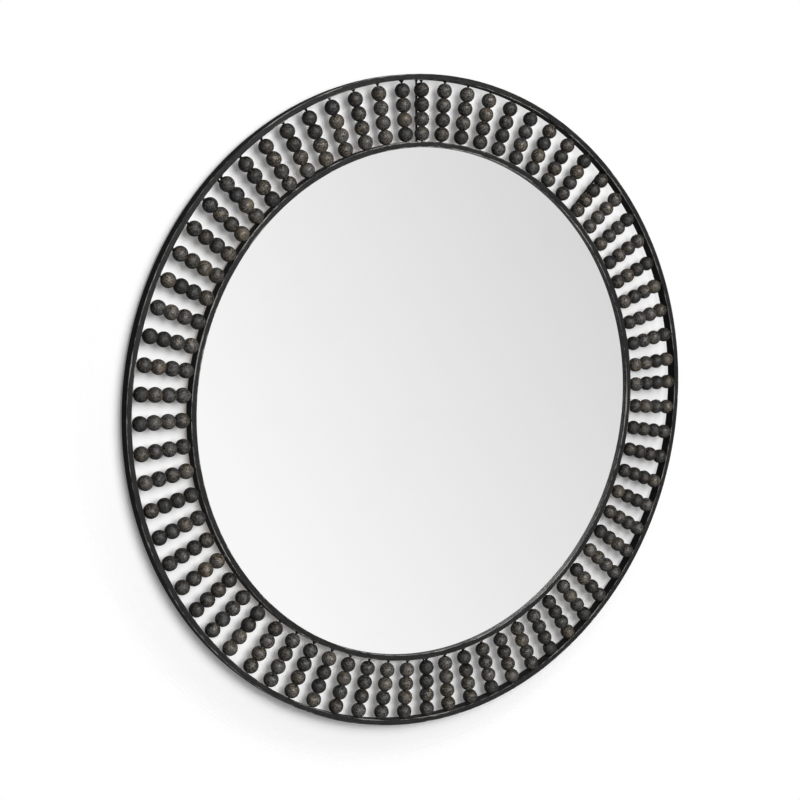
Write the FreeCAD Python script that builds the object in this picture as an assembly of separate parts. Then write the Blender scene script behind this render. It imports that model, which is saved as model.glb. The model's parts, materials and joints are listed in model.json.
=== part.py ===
import FreeCAD, Part
import math
import os

# Round wall mirror: a glass disc in a black ring, and round it a wider ring held off by rows of wooden beads.
# Millimetres. The wall plane is y = 0, with the mirror's centre as origin. The front looks along -Y, +Z is up.

# Rings
opening_diameter = 714.0        # glass that shows inside the inner ring
inner_ring_face = 8.0           # width of the inner ring seen from the front
outer_ring_face = 8.0           # width of the outer ring seen from the front
ring_edge_chamfer = 0.5         # broken edges of both rings
lip_depth = 5.0                 # metal in front of the glass
web_thickness = 3.0             # wall of the inner ring beside the glass and the board

# Bead rows
row_count = 72
beads_per_row = 4
bead_diameter = 21.2
bead_length = 19.7              # along the wire, between the flats round the bore
bead_gap = 0.2                  # between neighbouring beads on a wire
wire_diameter = 2.4
bead_bore_clearance = 0.3       # round the wire, on the radius
weld_diameter = 4.0             # foot of the weld that joins a wire to a ring
weld_height = 0.6
bead_end_clearance = 0.3        # between the last bead and the weld
row_slack = 3.0                 # free length of wire on which a row can slide
settle_steepness = 1.2          # how soon rows away from the level slide to one end
wire_front_cover = 3.4          # ring metal in front of a wire's axis
row_shifts = {                  # how far the rows from each strut to the next sit clockwise of even spacing
    "top": -4.0,
    "top_right": 0.0,
    "right": -3.7,
    "bottom_right": 0.0,
    "bottom": -1.2,
    "bottom_left": 2.4,
    "left": 3.9,
    "top_left": 2.5,
}

# Struts
strut_width = 3.0
strut_thickness = 1.65
strut_bead_clearance = 0.35
strut_shifts = {                # how far each strut sits clockwise of even spacing
    "top": -5.2,
    "top_right": -2.8,
    "right": -3.7,
    "bottom_right": 0.0,
    "bottom": -3.5,
    "bottom_left": 1.8,
    "left": 3.9,
    "top_left": 1.0,
}

# Glass and foam tape
glass_thickness = 4.0
glass_edge_clearance = 0.5
glass_edge_chamfer = 0.4
tape_thickness = 1.0
tape_width = 30.0
tape_length = 420.0
tape_spacing = 150.0
tape_count = 4

# Backing board, retaining tabs and their screws
board_edge_clearance = 0.6
board_skin = 1.0                # board left in front of the keyhole pockets
tab_count = 8
tab_thickness = 1.5
tab_length = 20.0               # along the radius, from the inner ring's wall
tab_width = 16.0                # round the ring
tab_recess = 0.5                # tab's back below the wall plane
tab_rebate_clearance = 2.0      # between a tab's end and the step in the board

# Keyhole plates
hanger_spacing = 406.4          # between the two keyholes, 16 inches
hanger_height = 180.0           # keyholes above the mirror's centre
plate_width = 20.0
plate_length = 56.0
plate_thickness = 1.5
plate_recess = 0.2              # plate's back below the wall plane
plate_clearance = 0.3           # round the plate in its pocket
keyhole_diameter = 9.0
keyhole_slot_width = 4.5
keyhole_slot_length = 12.0      # from the keyhole's centre to the end of the slot
keyhole_head_clearance = 2.0    # room for a screw head behind the slot, on each side
plate_screw_inset = 7.0         # from a plate's end to its screw

# Countersunk screws
screw_head_diameter = 5.4
screw_shank_diameter = 2.8
screw_shank_length = 3.2        # in the board, below a tab or a plate
screw_hole_clearance = 0.1
screw_slot_width = 0.8
screw_slot_length = 3.2
screw_slot_depth = 0.7

# Worked-out radii and depths
bead_radius = bead_diameter / 2
wire_radius = wire_diameter / 2
bore_radius = wire_radius + bead_bore_clearance
bead_pitch = bead_length + bead_gap
row_end_room = weld_height + bead_end_clearance
row_length = beads_per_row * bead_length + (beads_per_row - 1) * bead_gap
bead_axis_depth = strut_thickness + strut_bead_clearance + bead_radius
ring_depth = bead_axis_depth + wire_front_cover
opening_radius = opening_diameter / 2
inner_ring_radius = opening_radius + inner_ring_face
gap_radius = inner_ring_radius + row_length + 2 * row_end_room + row_slack
outer_ring_radius = gap_radius + outer_ring_face
web_radius = inner_ring_radius - web_thickness
glass_front = -ring_depth + lip_depth
tape_front = glass_front + glass_thickness
board_front = tape_front + tape_thickness
tab_front = -tab_recess - tab_thickness
tab_radius = web_radius - tab_length
plate_front = -plate_recess - plate_thickness
row_step = 360.0 / row_count
row_middle_radius = (inner_ring_radius + gap_radius) / 2
rows_per_group = row_count // len(row_shifts)

origin = FreeCAD.Vector(0, 0, 0)
to_wall = FreeCAD.Vector(0, 1, 0)
outward = FreeCAD.Vector(0, 0, 1)


def turned(shape, degrees):
    """A copy moved clockwise from 12 o'clock, as seen from the front."""
    copy = shape.copy()
    copy.rotate(origin, to_wall, degrees)
    return copy


def hoop(section, sweep=360.0):
    """A section of (radius, y) points swept round the mirror's axis, centred on 12 o'clock."""
    points = [FreeCAD.Vector(0, y, radius) for radius, y in section]
    face = Part.Face(Part.makePolygon(points + points[:1]))
    solid = face.revolve(origin, to_wall, sweep)
    if sweep < 360.0:
        solid.rotate(origin, to_wall, -sweep / 2)
    return solid


def disc(radius, front, back):
    return Part.makeCylinder(radius, back - front, FreeCAD.Vector(0, front, 0), to_wall)


def block(width, front, back, low, high, x=0.0):
    """A box centred on x, from y = front to back and from z = low to high."""
    corner = FreeCAD.Vector(x - width / 2, front, low)
    return Part.makeBox(width, back - front, high - low, corner)


def oblong(width, front, back, low, high, x=0.0):
    """An upright plate with round ends, from z = low to high."""
    radius = width / 2
    ends = []
    for z in (low + radius, high - radius):
        place = FreeCAD.Vector(x, front, z)
        ends.append(Part.makeCylinder(radius, back - front, place, to_wall))
    middle = block(width, front, back, low + radius, high - radius, x)
    return middle.multiFuse(ends).removeSplitter()


def row_gap():
    """The ring-shaped space between the two rings, which trims what spans it."""
    return disc(gap_radius, -ring_depth, 0).cut(disc(inner_ring_radius, -ring_depth, 0))


# Rings
def make_outer_ring():
    chamfer = ring_edge_chamfer
    front = -ring_depth
    return hoop([
        (gap_radius, front + chamfer),
        (gap_radius + chamfer, front),
        (outer_ring_radius - chamfer, front),
        (outer_ring_radius, front + chamfer),
        (outer_ring_radius, -chamfer),
        (outer_ring_radius - chamfer, 0),
        (gap_radius + chamfer, 0),
        (gap_radius, -chamfer),
    ])


def make_inner_ring():
    """An angle section: a lip in front of the glass and a wall round it."""
    chamfer = ring_edge_chamfer
    front = -ring_depth
    return hoop([
        (opening_radius, front + chamfer),
        (opening_radius + chamfer, front),
        (inner_ring_radius - chamfer, front),
        (inner_ring_radius, front + chamfer),
        (inner_ring_radius, -chamfer),
        (inner_ring_radius - chamfer, 0),
        (web_radius, 0),
        (web_radius, glass_front),
        (opening_radius, glass_front),
    ])


# Struts, wires and beads, each made at 12 o'clock and then turned to its place
def make_strut(gap, shift):
    bar = block(strut_width, -strut_thickness, 0, opening_radius, outer_ring_radius, shift)
    return bar.common(gap)


def row_line(index):
    """The line that a row shares with the one opposite: its angle and how far beside the centre it passes."""
    shifts = list(row_shifts.values())
    here = shifts[index // rows_per_group]
    opposite = shifts[(index + row_count // 2) % row_count // rows_per_group]
    turn = math.degrees((here + opposite) / 2 / row_middle_radius)
    return index * row_step + turn, (here - opposite) / 2


def make_wire(gap, offset):
    """A round wire with a small weld at each ring."""
    weld_radius = weld_diameter / 2
    profile = [
        (0, opening_radius),
        (weld_radius, opening_radius),
        (weld_radius, inner_ring_radius),
        (wire_radius, inner_ring_radius + weld_height),
        (wire_radius, gap_radius - weld_height),
        (weld_radius, gap_radius),
        (weld_radius, outer_ring_radius),
        (0, outer_ring_radius),
    ]
    points = [FreeCAD.Vector(offset + x, -bead_axis_depth, z) for x, z in profile]
    face = Part.Face(Part.makePolygon(points + points[:1]))
    return face.revolve(points[0], outward, 360).common(gap)


def make_bead():
    """A ball with flat ends and a bore along +Z, centred where the wires' plane meets the mirror's axis."""
    centre = FreeCAD.Vector(0, -bead_axis_depth, 0)
    half_length = bead_length / 2
    flat_radius = math.sqrt(bead_radius ** 2 - half_length ** 2)
    low_bore = centre + FreeCAD.Vector(bore_radius, 0, -half_length)
    low_flat = centre + FreeCAD.Vector(flat_radius, 0, -half_length)
    side = centre + FreeCAD.Vector(bead_radius, 0, 0)
    high_flat = centre + FreeCAD.Vector(flat_radius, 0, half_length)
    high_bore = centre + FreeCAD.Vector(bore_radius, 0, half_length)
    outline = [
        Part.LineSegment(low_bore, low_flat).toShape(),
        Part.Arc(low_flat, side, high_flat).toShape(),
        Part.LineSegment(high_flat, high_bore).toShape(),
        Part.LineSegment(high_bore, low_bore).toShape(),
    ]
    return Part.Face(Part.Wire(outline)).revolve(centre, outward, 360)


def row_beads(bead, degrees, offset):
    """The beads of one row. Upper rows settle on the inner ring and lower rows on the outer ring."""
    settled = 0.5 - settle_steepness * math.cos(math.radians(degrees))
    slid = row_slack * min(max(settled, 0.0), 1.0)
    first = inner_ring_radius + row_end_room + bead_length / 2 + slid
    beads = []
    for place in range(beads_per_row):
        moved = bead.translated(FreeCAD.Vector(offset, 0, first + place * bead_pitch))
        beads.append(turned(moved, degrees))
    return beads


# Glass and what holds it
def make_glass():
    radius = web_radius - glass_edge_clearance
    chamfer = glass_edge_chamfer
    return hoop([
        (0, glass_front),
        (radius - chamfer, glass_front),
        (radius, glass_front + chamfer),
        (radius, tape_front - chamfer),
        (radius - chamfer, tape_front),
        (0, tape_front),
    ])


def make_tape():
    strips = []
    for index in range(tape_count):
        x = (index - (tape_count - 1) / 2) * tape_spacing
        strips.append(block(tape_width, tape_front, board_front, -tape_length / 2, tape_length / 2, x))
    return strips


def screw_cut(head_back, board_face, clearance):
    """A countersunk screw's outline along +Y, from its tip to the back of its head."""
    shank_radius = screw_shank_diameter / 2 + clearance
    head_radius = screw_head_diameter / 2
    tip = FreeCAD.Vector(0, board_face - screw_shank_length - clearance, 0)
    seat = FreeCAD.Vector(0, board_face, 0)
    shank = Part.makeCylinder(shank_radius, head_back - tip.y, tip, to_wall)
    head = Part.makeCone(shank_radius, head_radius, head_back - board_face, seat, to_wall)
    return shank.fuse(head).removeSplitter()


def make_screw(head_back, board_face):
    """A countersunk screw with a cross recess, on the mirror's axis."""
    screw = screw_cut(head_back, board_face, 0.0)
    bottom = head_back - screw_slot_depth
    half_length = screw_slot_length / 2
    half_width = screw_slot_width / 2
    upright = block(screw_slot_width, bottom, head_back, -half_length, half_length)
    level = block(screw_slot_length, bottom, head_back, -half_width, half_width)
    return screw.cut(upright.fuse(level))


def tab_angles():
    step = 360.0 / tab_count
    return [(index + 0.5) * step for index in range(tab_count)]


def tab_screw_place():
    return FreeCAD.Vector(0, 0, (tab_radius + web_radius) / 2)


def make_tab():
    """A flat tab on the inner ring's wall, over the board's rim, with a countersunk hole."""
    sweep = math.degrees(tab_width / web_radius)
    plate = hoop([
        (tab_radius, tab_front),
        (web_radius, tab_front),
        (web_radius, -tab_recess),
        (tab_radius, -tab_recess),
    ], sweep)
    hole = screw_cut(-tab_recess, tab_front, screw_hole_clearance)
    return plate.cut(hole.translated(tab_screw_place()))


def hanger_places():
    half = hanger_spacing / 2
    return {"left": -half, "right": half}


def plate_limits():
    """Lowest and highest point of a plate: the keyhole and its slot are centred in it."""
    middle = hanger_height + (keyhole_slot_length - keyhole_diameter / 2) / 2
    return middle - plate_length / 2, middle + plate_length / 2


def plate_screw_places(x):
    low, high = plate_limits()
    return [FreeCAD.Vector(x, 0, z) for z in (low + plate_screw_inset, high - plate_screw_inset)]


def make_keyhole_plate(x):
    low, high = plate_limits()
    plate = oblong(plate_width, plate_front, -plate_recess, low, high, x)
    middle = FreeCAD.Vector(x, plate_front, hanger_height)
    hole = Part.makeCylinder(keyhole_diameter / 2, plate_thickness, middle, to_wall)
    slot_low = hanger_height - keyhole_slot_width / 2
    slot_high = hanger_height + keyhole_slot_length
    slot = oblong(keyhole_slot_width, plate_front, -plate_recess, slot_low, slot_high, x)
    cuts = [hole, slot]
    for place in plate_screw_places(x):
        cuts.append(screw_cut(-plate_recess, plate_front, screw_hole_clearance).translated(place))
    return plate.cut(Part.makeCompound(cuts))


def make_board():
    """The board fills the ring behind the glass, with a stepped rim for the tabs and two keyhole pockets."""
    radius = web_radius - board_edge_clearance
    step_radius = tab_radius - tab_rebate_clearance
    board = hoop([
        (0, board_front),
        (radius, board_front),
        (radius, tab_front),
        (step_radius, tab_front),
        (step_radius, 0),
        (0, 0),
    ])
    tab_hole = screw_cut(-tab_recess, tab_front, screw_hole_clearance).translated(tab_screw_place())
    cuts = [turned(tab_hole, angle) for angle in tab_angles()]
    low, high = plate_limits()
    for x in hanger_places().values():
        width = plate_width + 2 * plate_clearance
        cuts.append(oblong(width, plate_front, 0, low - plate_clearance, high + plate_clearance, x))
        head_width = keyhole_diameter + 2 * keyhole_head_clearance
        head_low = hanger_height - head_width / 2
        head_high = hanger_height + keyhole_slot_length + keyhole_head_clearance
        cuts.append(oblong(head_width, board_front + board_skin, 0, head_low, head_high, x))
        for place in plate_screw_places(x):
            cuts.append(screw_cut(-plate_recess, plate_front, screw_hole_clearance).translated(place))
    for cut in cuts:
        board = board.cut(cut)
    return board


def save(name, solids):
    """Write one node: a single solid, or a group of like solids."""
    shape = solids[0] if len(solids) == 1 else Part.makeCompound(solids)
    for solid in shape.Solids:
        if not solid.isValid():
            print("not valid:", name)
    shape.exportStep("parts/" + name + ".step")
    print(name, len(shape.Solids), "solids", round(shape.Volume), "mm3")


def main():
    os.makedirs("parts", exist_ok=True)
    gap = row_gap()
    save("outer_ring", [make_outer_ring()])
    save("inner_ring", [make_inner_ring()])

    for index, (place, shift) in enumerate(strut_shifts.items()):
        strut = make_strut(gap, shift)
        save("strut_" + place, [turned(strut, index * 360.0 / len(strut_shifts))])

    wires = []
    rows = []
    bead = make_bead()
    for index in range(row_count):
        angle, offset = row_line(index)
        wires.append(turned(make_wire(gap, offset), angle))
        rows.append(row_beads(bead, angle, offset))
    save("bead_wires", wires)
    half = row_count // 2
    for index in range(half):
        save("bead_rows_%02d" % (index + 1), rows[index] + rows[index + half])

    save("mirror_glass", [make_glass()])
    save("foam_tape", make_tape())
    save("backing_board", [make_board()])
    tab = make_tab()
    tab_screw = make_screw(-tab_recess, tab_front).translated(tab_screw_place())
    save("retaining_tabs", [turned(tab, angle) for angle in tab_angles()])
    save("tab_screws", [turned(tab_screw, angle) for angle in tab_angles()])

    plate_screws = []
    for side, x in hanger_places().items():
        save("keyhole_plate_" + side, [make_keyhole_plate(x)])
        plate_screw = make_screw(-plate_recess, plate_front)
        plate_screws += [plate_screw.translated(place) for place in plate_screw_places(x)]
    save("plate_screws", plate_screws)
    print("outer diameter", round(2 * outer_ring_radius, 2), "depth", round(ring_depth, 2))


main()
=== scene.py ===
import json
import math
import random
import bmesh
import bpy
from mathutils import Matrix, Vector


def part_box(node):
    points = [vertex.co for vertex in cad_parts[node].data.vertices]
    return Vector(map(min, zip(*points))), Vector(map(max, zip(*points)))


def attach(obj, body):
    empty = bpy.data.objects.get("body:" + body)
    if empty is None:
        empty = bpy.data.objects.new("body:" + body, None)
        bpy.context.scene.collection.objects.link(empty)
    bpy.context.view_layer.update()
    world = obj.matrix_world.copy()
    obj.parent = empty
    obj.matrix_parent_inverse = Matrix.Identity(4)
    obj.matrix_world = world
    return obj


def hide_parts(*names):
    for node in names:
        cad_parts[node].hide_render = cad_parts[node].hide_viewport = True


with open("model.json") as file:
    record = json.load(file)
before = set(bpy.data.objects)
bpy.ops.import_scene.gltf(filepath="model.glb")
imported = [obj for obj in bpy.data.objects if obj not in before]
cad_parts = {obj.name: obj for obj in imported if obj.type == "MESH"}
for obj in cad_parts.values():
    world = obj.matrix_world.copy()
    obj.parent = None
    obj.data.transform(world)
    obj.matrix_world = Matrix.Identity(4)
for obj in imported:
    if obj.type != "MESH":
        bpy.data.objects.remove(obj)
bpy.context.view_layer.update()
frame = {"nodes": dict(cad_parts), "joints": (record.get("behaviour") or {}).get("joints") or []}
nodes = frame["nodes"]
mm = 0.001
wallAxis = Vector((0, -1, 0))  # out of the wall, towards the room
print("frame loaded:", len(nodes), "nodes")


class Socket:  # a shader value that can stand in a Python sum
    def __init__(self, look, socket):
        self.look = look
        self.socket = socket

    def maths(self, operation, *terms):
        return self.look.node("Math", {"operation": operation}, dict(enumerate(terms)))

    def output(self, name):
        return Socket(self.look, self.socket.node.outputs[name])

    def __add__(self, other):
        return self.maths("ADD", self, other)

    def __radd__(self, other):
        return self.maths("ADD", other, self)

    def __sub__(self, other):
        return self.maths("SUBTRACT", self, other)

    def __rsub__(self, other):
        return self.maths("SUBTRACT", other, self)

    def __mul__(self, other):
        return self.maths("MULTIPLY", self, other)

    def __rmul__(self, other):
        return self.maths("MULTIPLY", other, self)

    def __truediv__(self, other):
        return self.maths("DIVIDE", self, other)

    def __rtruediv__(self, other):
        return self.maths("DIVIDE", other, self)

    def __pow__(self, other):
        return self.maths("POWER", self, other)

    def __rpow__(self, other):
        return self.maths("POWER", other, self)


class Look:  # the node tree of a material or of the world
    def __init__(self, owner):
        owner.use_nodes = True
        self.tree = owner.node_tree
        self.tree.nodes.clear()

    def node(self, kind, settings=None, sockets=None, output=0):
        made = self.tree.nodes.new("ShaderNode" + kind)
        for name, value in (settings or {}).items():
            setattr(made, name, value)
        for name, value in (sockets or {}).items():
            if isinstance(value, Socket):
                self.tree.links.new(value.socket, made.inputs[name])
            else:
                made.inputs[name].default_value = value
        return Socket(self, made.outputs[output]) if made.outputs else made

    def place(self):  # the part's own frame, in metres
        return self.node("TexCoord", output="Object")

    def attribute(self, name, output):
        return self.node("Attribute", {"attribute_name": name}, output=output)

    def stretch(self, where, factors):
        return self.node("VectorMath", {"operation": "MULTIPLY"}, {0: where, 1: factors})

    def noise(self, where, scale, detail=3.0, roughness=0.55, distortion=0.0):
        sockets = {"Vector": where, "Scale": scale, "Detail": detail}
        sockets.update({"Roughness": roughness, "Distortion": distortion})
        return self.node("TexNoise", {}, sockets)

    def step(self, value, low, high, atLow=0.0, atHigh=1.0):
        sockets = {"Value": value, "From Min": low, "From Max": high}
        sockets.update({"To Min": atLow, "To Max": atHigh})
        return self.node("MapRange", {"interpolation_type": "SMOOTHSTEP"}, sockets)

    def tint(self, share, first, second):
        return self.node("Mix", {"data_type": "RGBA"}, {0: share, 6: first, 7: second}, 2)

    def bump(self, height, strength, distance):
        sockets = {"Height": height, "Strength": strength, "Distance": distance}
        return self.node("Bump", {}, sockets)

    def surface(self, sockets):
        self.output(self.node("BsdfPrincipled", {}, sockets))

    def output(self, shader):
        self.node("OutputMaterial", {}, {"Surface": shader})


def newMaterial(name):
    material = bpy.data.materials.new(name)
    return material, Look(material)


def colour(red, green, blue):
    return (red, green, blue, 1.0)


# Meshes

class Shell:  # points, faces and values per point, gathered for one piece
    def __init__(self):
        self.points = []
        self.faces = []
        self.values = {}

    def loft(self, rings, joined=False, **values):
        first = len(self.points)
        across = len(rings[0])
        for ring in rings:
            self.points.extend(ring)
        for k in range(len(rings) if joined else len(rings) - 1):
            here = first + k * across
            ahead = first + (k + 1) % len(rings) * across
            for i in range(across):
                j = (i + 1) % across
                self.faces.append((here + i, here + j, ahead + j, ahead + i))
        if not joined:
            last = first + (len(rings) - 1) * across
            self.faces.append(tuple(range(first + across - 1, first - 1, -1)))
            self.faces.append(tuple(range(last, last + across)))
        for name, given in values.items():
            self.values.setdefault(name, []).extend(given)

    def piece(self, name, material, slot, body, replaced, evenNormals=False):
        mesh = bpy.data.meshes.new(name)
        mesh.from_pydata(self.points, [], self.faces)
        for label, given in self.values.items():
            isVector = isinstance(given[0], Vector)
            kind = "FLOAT_VECTOR" if isVector else "FLOAT"
            layer = mesh.attributes.new(label, kind, "POINT")
            for item, value in zip(layer.data, given):
                if isVector:
                    item.vector = value
                else:
                    item.value = value
        work = bmesh.new()
        work.from_mesh(mesh)
        bmesh.ops.recalc_face_normals(work, faces=work.faces)
        work.to_mesh(mesh)
        work.free()
        mesh.shade_smooth()
        mesh.materials.append(material)
        made = bpy.data.objects.new(name, mesh)
        bpy.context.scene.collection.objects.link(made)
        if evenNormals:
            made.modifiers.new("evenNormals", "WEIGHTED_NORMAL").weight = 100
        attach(made, body)
        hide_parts(*replaced)


cornerShape = dict(
    steps=4,
    shoulder=0.6,  # edge value where a banded corner meets the flat, so the rubbed steel and painted highlight reach onto it
)


def roundCorners(corners):
    steps = cornerShape["steps"]
    outline = []  # each corner is radius, depth, rounding and how far its band of rubbed steel and painted highlight spreads
    edges = []  # rubbed steel and painted highlight line, 1 at mid-corner
    for i, (radius, depth, rounding, wear) in enumerate(corners):
        here = Vector((radius, depth))
        back = (Vector(corners[i - 1][:2]) - here).normalized()
        ahead = (Vector(corners[(i + 1) % len(corners)][:2]) - here).normalized()
        half = back.angle(ahead) / 2
        centre = here + (back + ahead).normalized() * rounding / math.sin(half)
        start = here + back * rounding / math.tan(half) - centre
        end = here + ahead * rounding / math.tan(half) - centre
        shoulder = cornerShape["shoulder"] if wear else 0.0
        if wear:
            outline.append(centre + start + back * wear)
            edges.append(0.0)
        for k in range(steps + 1):
            outline.append(centre + start.slerp(end, k / steps).normalized() * rounding)
            edges.append(max(shoulder, math.sin(math.pi * k / steps)))
        if wear:
            outline.append(centre + end + ahead * wear)
            edges.append(0.0)
    return outline, edges


def clockDirection(degrees):
    turn = math.radians(degrees)
    return Vector((math.sin(turn), 0, math.cos(turn)))


def clockPoint(degrees, radius, depth):
    return clockDirection(degrees) * radius + wallAxis * depth


# Finishes

ironFinish = dict(
    coat=colour(0.0070, 0.0070, 0.0070),  # flat black paint on mild steel
    thin=colour(0.0200, 0.0197, 0.0192),  # where the paint has gone on thin
    bare=colour(0.420, 0.410, 0.395),  # rubbed through to the steel; along rounded edges it is also a painted highlight line, and on weld feet painted glints
    roughness=0.42,
    gloss=0.20,
    rub=0.55,  # how much of an edge is rubbed through and painted with a highlight line
    streakRadius=0.41,  # metres from the middle at which streaks have their set length
)


def ironLook(name):
    material, look = newMaterial(name)
    where = look.place()
    parts = look.node("SeparateXYZ", {}, {0: where})
    x = parts.output("X")
    z = parts.output("Z")
    turn = parts.maths("ARCTAN2", x, z) * ironFinish["streakRadius"]
    radius = parts.maths("SQRT", x * x + z * z)
    along = look.node("CombineXYZ", {}, {0: turn, 1: radius, 2: parts.output("Y")})
    streaks = look.noise(look.stretch(along, (30, 900, 900)), 1.0, 5.0, 0.6)
    clouds = look.noise(where, 46.0, 4.0, 0.6)
    grit = look.noise(where, 1500.0, 2.0, 0.6)
    nicks = look.noise(look.stretch(along, (90, 900, 900)), 1.0, 3.0, 0.65)
    knocks = look.noise(where, 16.0, 2.0, 0.5)  # where the hoop gets handled
    edge = look.attribute("edge", "Fac")
    thin = look.step(streaks * 0.6 + clouds * 0.5, 0.46, 0.72)
    # steel-grey where nicks and knocks rub through, plus a painted highlight line along rounded edges
    # and painted glints on weld feet, both from the edge values
    rubbed = look.step(edge * ironFinish["rub"] + nicks + knocks * 0.9, 1.30, 1.46)
    chipped = look.step(nicks * 0.7 + grit * 0.3, 0.69, 0.74)
    base = look.tint(thin, ironFinish["coat"], ironFinish["thin"])
    base = look.tint(rubbed.maths("MAXIMUM", rubbed * 0.8, chipped * 0.5), base, ironFinish["bare"])
    height = grit * 0.25 + streaks
    look.surface({
        "Base Color": base,
        "Roughness": ironFinish["roughness"] + (clouds - 0.5) * 0.25 + grit * 0.06,
        "Normal": look.bump(height, 0.8, 0.0006),
        "Specular IOR Level": ironFinish["gloss"],
    })
    return material


woodFinish = dict(
    stain=colour(0.0085, 0.0082, 0.0080),  # black stain lying in the grain
    grey=colour(0.0930, 0.0895, 0.0865),  # stained wood between
    brown=colour(0.1080, 0.0880, 0.0650),  # wood that took less of the stain
    pale=colour(0.3600, 0.2900, 0.1900),  # where the stain is rubbed thin
    chip=colour(0.6200, 0.5900, 0.5300),  # knocked down to raw wood
    roughness=0.31,
    gloss=0.48,
)


def woodLook(name):
    material, look = newMaterial(name)
    grain = look.attribute("grain", "Vector")  # each bead has its own place in the timber
    turned = look.attribute("turned", "Vector")  # the same with the wire along Z
    tone = look.attribute("tone", "Fac") - 0.5
    warmth = look.attribute("warmth", "Fac") - 0.5
    fibres = look.noise(look.stretch(turned, (6.0, 6.0, 0.7)), 1.5, 3.0, 0.6, 0.2)
    lines = look.noise(look.stretch(grain, (0.8, 1.8, 3.2)), 1.5, 4.0, 0.65, 0.6)
    pores = look.noise(grain, 6.0, 3.0, 0.6)
    patches = look.noise(grain, 1.15, 3.0, 0.6)
    drifts = look.noise(look.stretch(grain, (0.9, 0.9, 1.6)), 0.9, 2.0, 0.5)
    splits = look.noise(look.stretch(grain, (1.0, 2.0, 9.0)), 1.1, 2.0, 0.5, 0.3)
    figure = lines * 0.65 + pores * 0.35
    worn = look.step(figure + tone * 0.13, 0.44, 0.56)
    browned = look.step(drifts + warmth * 0.30, 0.47, 0.64)
    rubbed = look.step(patches * 0.35 + pores * 0.35 + lines * 0.30 + tone * 0.10, 0.54, 0.64)
    cracked = look.step(splits - tone * 0.10, 0.66, 0.71)
    chipped = look.step(pores * 0.55 + patches * 0.45, 0.685, 0.70)
    pitted = look.step(look.noise(grain, 4.6, 2.0, 0.5) - tone * 0.04, 0.585, 0.63)
    wood = look.tint(browned, woodFinish["grey"], woodFinish["brown"])
    base = look.tint(worn, woodFinish["stain"], wood)
    base = look.tint(rubbed * 0.5, base, woodFinish["pale"])
    base = look.tint(cracked.maths("MAXIMUM", cracked * 0.85, pitted * 0.85), base, woodFinish["stain"])
    base = look.tint(chipped * 0.7, base, woodFinish["chip"])
    height = fibres + pores * 0.3 + lines * 0.3 - cracked * 0.6 - pitted * 0.3
    look.surface({
        "Base Color": base,
        "Roughness": woodFinish["roughness"] + (pores - 0.5) * 0.35 - tone * 0.26 + cracked * 0.3,
        "Normal": look.bump(height, 0.8, 0.0008),
        "Specular IOR Level": woodFinish["gloss"],
    })
    return material


mirrorFinish = dict(
    silver=colour(0.932, 0.932, 0.932),
    hazed=colour(0.922, 0.922, 0.922),  # faint wiping marks
    roughness=0.012,
)


def mirrorLook(name):
    material, look = newMaterial(name)
    where = look.place()
    wipes = look.noise(look.stretch(where, (3.0, 3.0, 9.0)), 1.4, 3.0, 0.6, 0.6)
    hazed = look.step(wipes, 0.50, 0.75)
    look.surface({
        "Base Color": look.tint(hazed, mirrorFinish["silver"], mirrorFinish["hazed"]),
        "Metallic": 1.0,
        "Roughness": mirrorFinish["roughness"] + hazed * 0.012,
    })
    return material


boardFinish = dict(
    fibre=colour(0.225, 0.148, 0.088),
    dark=colour(0.135, 0.084, 0.047),
    pale=colour(0.290, 0.203, 0.128),
    roughness=0.72,
)


def boardLook(name):
    material, look = newMaterial(name)
    where = look.place()
    fibres = look.noise(where, 900.0, 5.0, 0.7, 0.6)
    flecks = look.noise(where, 480.0, 3.0, 0.6)
    clouds = look.noise(where, 7.0, 3.0, 0.55)
    pressed = look.step(fibres * 0.7 + clouds * 0.45, 0.42, 0.70)
    base = look.tint(pressed, boardFinish["dark"], boardFinish["fibre"])
    base = look.tint(look.step(flecks, 0.58, 0.72), base, boardFinish["pale"])
    look.surface({
        "Base Color": base,
        "Roughness": boardFinish["roughness"] + (fibres - 0.5) * 0.3,
        "Normal": look.bump(fibres + flecks * 0.5, 0.4, 0.0004),
        "Specular IOR Level": 0.25,
    })
    return material


zincFinish = dict(
    plate=colour(0.56, 0.57, 0.58),
    dull=colour(0.36, 0.37, 0.38),
    roughness=0.34,
)
screwFinish = dict(
    plate=colour(0.46, 0.36, 0.20),  # yellow passivated
    dull=colour(0.22, 0.17, 0.11),
    roughness=0.38,
)


def platedLook(name, finish):
    material, look = newMaterial(name)
    where = look.place()
    spangle = look.node("TexVoronoi", {"feature": "SMOOTH_F1"}, {"Vector": where, "Scale": 420.0})
    clouds = look.noise(where, 150.0, 3.0, 0.6)
    scratches = look.noise(look.stretch(where, (2600.0, 2600.0, 180.0)), 1.0, 2.0, 0.5)
    dull = look.step(clouds * 0.7 + spangle * 0.5, 0.45, 0.80)
    look.surface({
        "Base Color": look.tint(dull, finish["plate"], finish["dull"]),
        "Metallic": 0.6,
        "Roughness": finish["roughness"] + dull * 0.18 + (scratches - 0.5) * 0.12,
        "Normal": look.bump(scratches, 0.15, 0.0001),
    })
    return material


foamFinish = dict(
    foam=colour(0.62, 0.62, 0.60),
    cells=colour(0.40, 0.40, 0.39),
)


def foamLook(name):
    material, look = newMaterial(name)
    cells = look.node("TexVoronoi", {}, {"Vector": look.place(), "Scale": 2200.0})
    look.surface({
        "Base Color": look.tint(look.step(cells, 0.15, 0.55), foamFinish["cells"], foamFinish["foam"]),
        "Roughness": 0.85 - cells * 0.1,
        "Normal": look.bump(cells, 0.5, 0.0003),
    })
    return material


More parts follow.
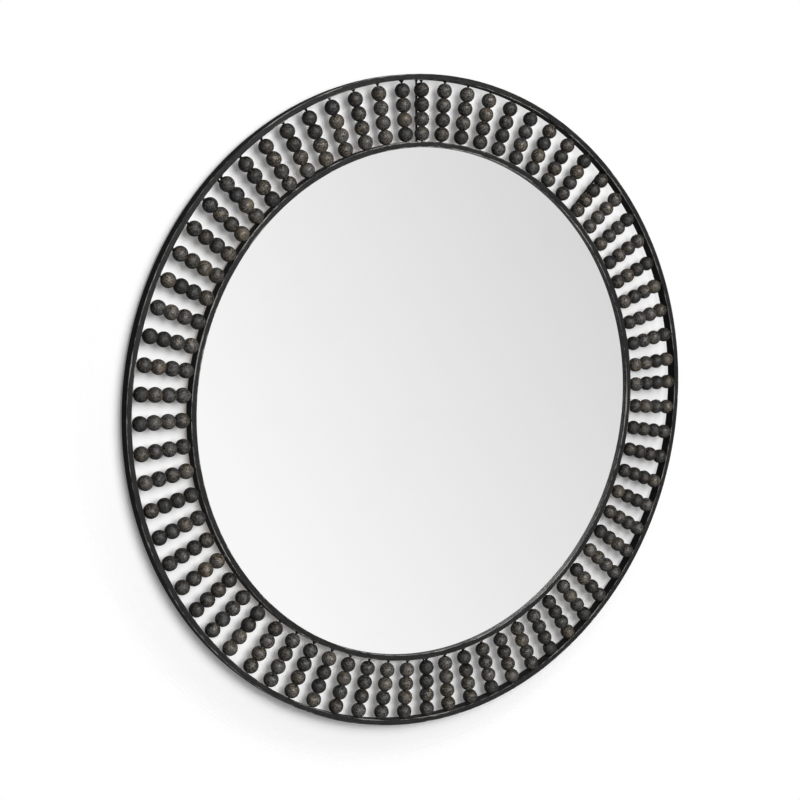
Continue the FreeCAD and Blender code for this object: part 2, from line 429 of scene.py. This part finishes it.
hoopIron = ironLook("blackHoopIron")
wireIron = ironLook("blackWireIron")
beadWood = woodLook("stainedBeadWood")
silvered = mirrorLook("silveredGlass")
fibreboard = boardLook("brownFibreboard")
zincPlate = platedLook("zincPlate", zincFinish)
screwPlate = platedLook("yellowScrewPlate", screwFinish)
greyFoam = foamLook("greyFoam")
cadFinishes = {
    "mirror_glass": silvered,
    "foam_tape": greyFoam,
    "backing_board": fibreboard,
    "retaining_tabs": zincPlate,
    "tab_screws": screwPlate,
    "keyhole_plate_left": zincPlate,
    "keyhole_plate_right": zincPlate,
    "plate_screws": screwPlate,
}
for nodeName, finish in cadFinishes.items():
    nodes[nodeName].data.materials.clear()
    nodes[nodeName].data.materials.append(finish)
print("finishes made")

# Hoops

hoopSizes = dict(
    segments=720,
    frontRounding=0.8 * mm,
    backRounding=0.5 * mm,
    insideRounding=0.3 * mm,
    wear=1.9 * mm,  # how far the band of rubbed steel and painted highlight spreads from a front edge
    face=7.87 * mm,  # width of the outer hoop's front face
    lip=8.0 * mm,  # width of the inner hoop's front face
    lipDepth=5.0 * mm,
    web=3.0 * mm,
)


def hoopReach(node):
    low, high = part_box(node)
    return min(-low.x, high.x, -low.z, high.z), -low.y


def outerHoopCorners():
    reach, depth = hoopReach("outer_ring")
    inside = reach - hoopSizes["face"]
    front = hoopSizes["frontRounding"]
    back = hoopSizes["backRounding"]
    wear = hoopSizes["wear"]
    return [
        (inside, 0, back, 0), (reach, 0, back, 0),
        (reach, depth, front, wear), (inside, depth, front, wear),
    ]


def innerHoopCorners():
    reach, depth = hoopReach("inner_ring")
    front = hoopSizes["frontRounding"]
    back = hoopSizes["backRounding"]
    crease = hoopSizes["insideRounding"]
    inside = reach - hoopSizes["lip"]
    webInside = reach - hoopSizes["web"]
    shelf = depth - hoopSizes["lipDepth"]
    wear = hoopSizes["wear"]
    return [
        (webInside, 0, back, 0), (reach, 0, back, 0), (reach, depth, front, wear),
        (inside, depth, front, wear), (inside, shelf, crease, 0), (webInside, shelf, crease, 0),
    ]


def makeHoop(name, corners, node):
    outline, edges = roundCorners(corners)
    count = hoopSizes["segments"]
    rings = []
    for k in range(count):
        turn = 360 * k / count
        rings.append([clockPoint(turn, radius, depth) for radius, depth in outline])
    shell = Shell()
    # the edge values paint each rounded corner lighter: rubbed steel and a painted highlight line
    shell.loft(rings, joined=True, edge=edges * count)
    shell.piece(name, hoopIron, "black_ring", "frame", [node], evenNormals=True)


makeHoop("outerHoop", outerHoopCorners(), "outer_ring")
makeHoop("innerHoop", innerHoopCorners(), "inner_ring")
print("hoops made")

# Bead rows

beadSizes = dict(
    perRow=4,
    pitch=19.9 * mm,
    radius=10.54 * mm,
    halfLength=9.93 * mm,  # along the wire, so that neighbours just touch
    flatRounding=0.5 * mm,  # round the flat ends
    bore=1.5 * mm,
    mouth=0.7 * mm,  # width of the rounded bore mouth
    meridians=32,
    parallels=14,
    uneven=0.012,  # most that a bead is out of round
    firstReach=10.75 * mm,  # from the inner hoop to the middle of the first bead
    slide=3.0 * mm,  # how far the hanging rows slide outwards
    steepness=1.2,  # how soon rows away from the level slide to one end
    seed=41,
)
innerReach = hoopReach("inner_ring")[0]
outerReach = hoopReach("outer_ring")[0] - hoopSizes["face"]


def rowLines():
    lines = []  # node, a point on the wire's line and the way outwards, two rows to a hinge
    for joint in frame["joints"]:
        for way in (1, -1):
            lines.append((joint["child"], Vector(joint["pos_m"]), Vector(joint["axis"]) * way))
    return lines


def firstBeadReach(along):
    hang = 0.5 - beadSizes["steepness"] * along.z
    slid = beadSizes["slide"] * min(1.0, max(0.0, hang))
    return innerReach + beadSizes["firstReach"] + slid


def beadOutline():
    radius = beadSizes["radius"]
    half = beadSizes["halfLength"]
    bore = beadSizes["bore"]
    rounding = beadSizes["flatRounding"]
    mouth = beadSizes["mouth"]
    reach = math.asin((half - rounding) / radius)
    count = beadSizes["parallels"]
    outline = []
    for k in range(count + 1):
        latitude = reach * (2 * k / count - 1)
        outline.append((radius * math.cos(latitude), radius * math.sin(latitude)))
    flat = outline[-1][0] - 2 * rounding
    end = [(flat, half), (bore + mouth, half), (bore, half - mouth)]
    return outline + end + [(width, -height) for width, height in reversed(end)]


def addBead(shell, outline, centre, along, chance):
    sideways = along.cross(wallAxis)
    spread = beadSizes["uneven"]
    shape = [1 - spread * chance.random() for _ in range(2)]
    spin = Matrix.Rotation(chance.uniform(0, math.tau), 3, "Z")
    tip = Matrix.Rotation(chance.uniform(0, math.pi), 3, "X")
    roll = Matrix.Rotation(chance.uniform(0, math.tau), 3, "Z")
    timber = spin @ tip @ roll
    origin = Vector([chance.uniform(-40, 40) for _ in range(3)])
    tone = chance.random()
    warmth = chance.random()
    rings = []
    grain = []
    turned = []
    for reach, height in outline:
        ring = []
        for k in range(beadSizes["meridians"]):
            turn = math.tau * k / beadSizes["meridians"]
            local = Vector((reach * math.cos(turn), reach * math.sin(turn), height))
            turned.append(local / beadSizes["radius"] + origin)
            grain.append(timber @ (local / beadSizes["radius"]) + origin)
            wide = wallAxis * local.x * shape[0] + sideways * local.y * shape[1]
            ring.append(centre + wide + along * local.z)
        rings.append(ring)
    count = len(grain)
    shades = dict(tone=[tone] * count, warmth=[warmth] * count)
    shell.loft(rings, joined=True, grain=grain, turned=turned, **shades)


def makeBeadRows():
    chance = random.Random(beadSizes["seed"])
    outline = beadOutline()
    shells = {}
    for node, middle, along in rowLines():
        shell = shells.setdefault(node, Shell())
        for k in range(beadSizes["perRow"]):
            centre = middle + along * (firstBeadReach(along) + k * beadSizes["pitch"])
            addBead(shell, outline, centre, along, chance)
    for node, shell in shells.items():
        name = "beadRows" + node.split("_")[-1]
        shell.piece(name, beadWood, "stained_wood", node, [node])


makeBeadRows()
print("bead rows made")

# Wires and struts

wireSizes = dict(
    radius=1.2 * mm,
    sides=14,
    sunk=0.2 * mm,  # into the hoops at both ends
    foot=3.2 * mm,  # radius of the weld at the hoop
    tallWeld=3.6 * mm,
    weldShare=0.9,  # of the free length between bead and hoop
    weldSteps=6,
    flareCurve=1.2,
    lumps=0.35,  # how uneven the weld is
    glint=0.55,  # how strongly the weld foot is painted steel-grey as a glint
    seed=7,
)


def weldRings(middle, along, start, inwards, height, chance):
    sideways = along.cross(wallAxis)
    firstPhase = chance.uniform(0, math.tau)
    secondPhase = chance.uniform(0, math.tau)
    rings = []
    steps = wireSizes["weldSteps"]
    for k in range(steps + 1):
        t = k / steps
        flare = (wireSizes["foot"] - wireSizes["radius"]) * (1 - t) ** wireSizes["flareCurve"]
        centre = middle + along * (start + inwards * height * t)
        ring = []
        for side in range(wireSizes["sides"]):
            turn = math.tau * side / wireSizes["sides"]
            lump = math.sin(2 * turn + firstPhase) + 0.6 * math.sin(3 * turn + secondPhase)
            thick = wireSizes["radius"] + flare * (1 + wireSizes["lumps"] * lump)
            ring.append(centre + (wallAxis * math.cos(turn) + sideways * math.sin(turn)) * thick)
        rings.append(ring)
    return rings


def makeWires():
    chance = random.Random(wireSizes["seed"])
    shell = Shell()
    sunk = wireSizes["sunk"]
    for _, middle, along in rowLines():
        first = firstBeadReach(along)
        last = first + (beadSizes["perRow"] - 1) * beadSizes["pitch"]
        innerFree = first - beadSizes["halfLength"] - innerReach
        outerFree = outerReach - last - beadSizes["halfLength"]
        innerWeld = min(wireSizes["tallWeld"], innerFree * wireSizes["weldShare"])
        outerWeld = min(wireSizes["tallWeld"], outerFree * wireSizes["weldShare"])
        innerRings = weldRings(middle, along, innerReach - sunk, 1, innerWeld + sunk, chance)
        outerRings = weldRings(middle, along, outerReach + sunk, -1, outerWeld + sunk, chance)
        glints = []
        # painted glints: the weld feet get edge values that turn them steel-grey, strongest at the hoop
        for k in range(len(innerRings)):
            glint = wireSizes["glint"] * (1 - k / (len(innerRings) - 1))
            glints += [glint] * wireSizes["sides"]
        shell.loft(innerRings + outerRings[::-1], edge=glints + glints[::-1])
    shell.piece("beadWires", wireIron, "black_wire", "frame", ["bead_wires"])


strutSizes = dict(
    clockStep=45,  # degrees from one strut to the next
    width=3.0 * mm,
    thickness=1.65 * mm,
    rounding=0.45 * mm,
    sunk=0.15 * mm,
    weldLength=2.4 * mm,
    weldWide=1.3 * mm,  # how far the weld spreads to each side
    weldHigh=0.9 * mm,
    weldSteps=5,
)


def strutSection(along, sideways, shift, reach, spread):
    half = strutSizes["width"] / 2 + strutSizes["weldWide"] * spread
    front = strutSizes["thickness"] + strutSizes["weldHigh"] * spread
    rounding = strutSizes["rounding"]
    corners = [(-half, 0), (half, 0), (half, front), (-half, front)]
    outline, edges = roundCorners([(across, depth, rounding, 0) for across, depth in corners])
    ring = [along * reach + sideways * (shift + across) + wallAxis * depth for across, depth in outline]
    return ring, edges


def makeStrut(node):
    low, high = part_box(node)
    middle = (low + high) / 2
    step = strutSizes["clockStep"]
    along = clockDirection(round(math.degrees(math.atan2(middle.x, middle.z)) / step) * step)
    sideways = along.cross(wallAxis)
    shift = middle.dot(sideways)
    start = innerReach - strutSizes["sunk"]
    end = outerReach + strutSizes["sunk"]
    steps = strutSizes["weldSteps"]
    places = []
    for k in range(steps + 1):
        t = k / steps
        places.append((start + strutSizes["weldLength"] * t, (1 - t) ** 2))
    places += [(end - (reach - start), spread) for reach, spread in reversed(places)]
    sections = [strutSection(along, sideways, shift, reach, spread) for reach, spread in places]
    shell = Shell()
    # the edge values paint the strut's rounded corners with rubbed steel and a painted highlight line
    shell.loft([ring for ring, _ in sections], edge=[value for _, edges in sections for value in edges])
    words = node.split("_")
    name = words[0] + "".join(word.capitalize() for word in words[1:])
    shell.piece(name, wireIron, "black_wire", "frame", [node], evenNormals=True)


makeWires()
for nodeName in sorted(nodes):
    if nodeName.startswith("strut_"):
        makeStrut(nodeName)
print("wires and struts made")

# Camera

cameraView = dict(
    azimuth=-32.1153,
    elevation=6.8991,
    roll=-0.2614,
    distance=2.80258,
    target=Vector((-0.03311, 0.00044, 0.00626)),
    lens=90.15,
    sensor=36.0,
)


def placeCamera():
    azimuth = math.radians(cameraView["azimuth"])
    elevation = math.radians(cameraView["elevation"])
    roll = math.radians(cameraView["roll"])
    level = math.cos(elevation)
    back = Vector((math.sin(azimuth) * level, -math.cos(azimuth) * level, math.sin(elevation)))
    right = Vector((0, 0, 1)).cross(back).normalized()
    up = back.cross(right)
    tiltedRight = right * math.cos(roll) + up * math.sin(roll)
    tiltedUp = up * math.cos(roll) - right * math.sin(roll)
    turn = Matrix((tiltedRight, tiltedUp, back)).transposed().to_4x4()
    data = bpy.data.cameras.new("viewCamera")
    data.lens = cameraView["lens"]
    data.sensor_width = cameraView["sensor"]
    camera = bpy.data.objects.new("viewCamera", data)
    spot = cameraView["target"] + back * cameraView["distance"]
    camera.matrix_world = Matrix.Translation(spot) @ turn
    bpy.context.scene.collection.objects.link(camera)
    bpy.context.scene.camera = camera


placeCamera()
print("camera placed")

# Stage and light

stageSizes = dict(
    wallGap=5.5 * mm,  # wall behind the part's back
    half=2.2,
    top=1.8,
    floor=-1.0,
    cove=0.35,
    coveSteps=16,
    room=2.4,  # how far the floor comes out
    fadeMiddle=Vector((-0.03, 0, -0.02)),
    fade=(0.445, 0.505),  # distances from there between which the sweep melts into the white room
)
stageFinish = dict(
    paint=colour(0.93, 0.93, 0.93),
    lift=0.17,  # brings the lit wall up to white
)


def wallLook():
    material, look = newMaterial("palePaint")
    rays = look.node("LightPath")
    where = look.place()
    speckle = look.noise(where, 300.0, 2.0, 0.5)
    away = look.node("VectorMath", {"operation": "DISTANCE"},
                     {0: where, 1: stageSizes["fadeMiddle"]}, "Value")
    near, far = stageSizes["fade"]
    facing = look.node("NewGeometry", output="Backfacing")
    unseen = facing.maths("MAXIMUM", rays.output("Is Shadow Ray"), rays.output("Is Diffuse Ray"))
    unseen = facing.maths("MAXIMUM", unseen, rays.output("Is Glossy Ray"))
    unseen = facing.maths("MAXIMUM", facing, unseen)
    unseen = facing.maths("MAXIMUM", unseen, look.step(away, near, far))
    paint = look.node("BsdfPrincipled", {}, {
        "Base Color": stageFinish["paint"],
        "Roughness": 0.8 + speckle * 0.1,
        "Specular IOR Level": 0.1,
        "Emission Color": colour(1, 1, 1),
        "Emission Strength": stageFinish["lift"],
    })
    clear = look.node("BsdfTransparent")
    look.output(look.node("MixShader", {}, {0: unseen, 1: paint, 2: clear}))
    return material


def makeStage():
    wall = stageSizes["wallGap"]
    cove = stageSizes["cove"]
    floor = stageSizes["floor"]
    line = [(wall, stageSizes["top"])]
    for k in range(stageSizes["coveSteps"] + 1):
        turn = math.pi / 2 * k / stageSizes["coveSteps"]
        line.append((wall - cove * (1 - math.cos(turn)), floor + cove * (1 - math.sin(turn))))
    line.append((-stageSizes["room"], floor))
    half = stageSizes["half"]
    points = [(side, y, z) for y, z in line for side in (-half, half)]
    faces = [(2 * k, 2 * k + 2, 2 * k + 3, 2 * k + 1) for k in range(len(line) - 1)]
    mesh = bpy.data.meshes.new("paleSweep")
    mesh.from_pydata(points, [], faces)
    mesh.shade_smooth()
    mesh.materials.append(wallLook())
    sweep = bpy.data.objects.new("paleSweep", mesh)
    bpy.context.scene.collection.objects.link(sweep)


skyLight = dict(
    backdrop=1.0,
    bright=Vector((-0.745, -0.465, -0.479)),  # where the room is brightest, as shiny pieces see it
    bounds=(-0.41, 0.151),
    levels=(0.30, 1.0),
    far=(0.30, 0.95),  # past the brightest part the room dims again
    farLevel=0.72,
    front=(0.55, 0.72),  # how squarely a ray must face the room to see it fully lit
    beside=0.40,  # share of the level off to the sides
    behind=0.12,  # level behind the wall
    softbox=Vector((0.033, -0.933, 0.358)),  # the key lamp as shiny pieces see it
    softboxBounds=(0.91, 0.997),
    softboxLevel=8.5,
    ambient=0.04,
)


def makeSky():
    world = bpy.data.worlds.new("paleRoom")
    bpy.context.scene.world = world
    look = Look(world)
    rays = look.node("LightPath")
    heading = look.node("TexCoord", output="Generated")
    facing = look.node("VectorMath", {"operation": "DOT_PRODUCT"},
                       {0: heading, 1: skyLight["bright"].normalized()}, "Value")
    low, high = skyLight["bounds"]
    dim, bright = skyLight["levels"]
    room = look.node("MapRange", {}, {"Value": facing, "From Min": low, "From Max": high,
                                      "To Min": dim, "To Max": bright})
    near, far = skyLight["far"]
    room = room * look.step(facing, near, far, 1.0, skyLight["farLevel"])
    depth = look.node("SeparateXYZ", {}, {0: heading}).output("Y")
    side, front = skyLight["front"]
    room = room * look.step(0 - depth, side, front, skyLight["beside"], 1.0)
    behind = look.step(depth, -0.05, 0.05)
    room = room * (1 - behind) + behind * skyLight["behind"]
    nearBox = look.node("VectorMath", {"operation": "DOT_PRODUCT"},
                        {0: heading, 1: skyLight["softbox"]}, "Value")
    edge, middle = skyLight["softboxBounds"]
    room = room + look.step(nearBox, edge, middle) * skyLight["softboxLevel"]
    seen = rays.maths("MAXIMUM", rays.output("Is Camera Ray"), rays.output("Is Transmission Ray"))
    glossy = rays.output("Is Glossy Ray")
    strength = seen * skyLight["backdrop"] + glossy * room + (1 - seen - glossy) * skyLight["ambient"]
    sky = look.node("Background", {}, {"Color": colour(1, 1, 1), "Strength": strength})
    look.node("OutputWorld", {}, {"Surface": sky})


lamps = dict(
    keyLamp=dict(azimuth=2, elevation=21, distance=2.6, size=2.2, watts=16.5,
                 aim=Vector((-0.32, 0, 0.12)), spread=76,  # gridded, so it falls off to the right
                 glossy=False),  # the room's soft patch stands for it in reflections
    floorLamp=dict(azimuth=-18, elevation=-50, distance=1.2, size=0.9, watts=0.8),
    backLamp=dict(azimuth=150, elevation=8, distance=2.6, size=1.6, watts=74, glossy=False),
)


def placeLamp(name, sizes):
    azimuth = math.radians(sizes["azimuth"])
    elevation = math.radians(sizes["elevation"])
    level = math.cos(elevation)
    away = Vector((math.sin(azimuth) * level, -math.cos(azimuth) * level, math.sin(elevation)))
    data = bpy.data.lights.new(name, "AREA")
    data.energy = sizes["watts"]
    data.shape = "DISK"
    data.size = sizes["size"]
    data.spread = math.radians(sizes.get("spread", 180))
    lamp = bpy.data.objects.new(name, data)
    spot = away * sizes["distance"]
    turn = (spot - sizes.get("aim", Vector())).to_track_quat("Z", "Y").to_matrix().to_4x4()
    lamp.matrix_world = Matrix.Translation(spot) @ turn
    lamp.visible_glossy = sizes.get("glossy", True)
    bpy.context.scene.collection.objects.link(lamp)


makeStage()
makeSky()
for lampName, lampSizes in lamps.items():
    placeLamp(lampName, lampSizes)
bpy.context.scene.view_settings.view_transform = "Standard"
print("stage and light placed")
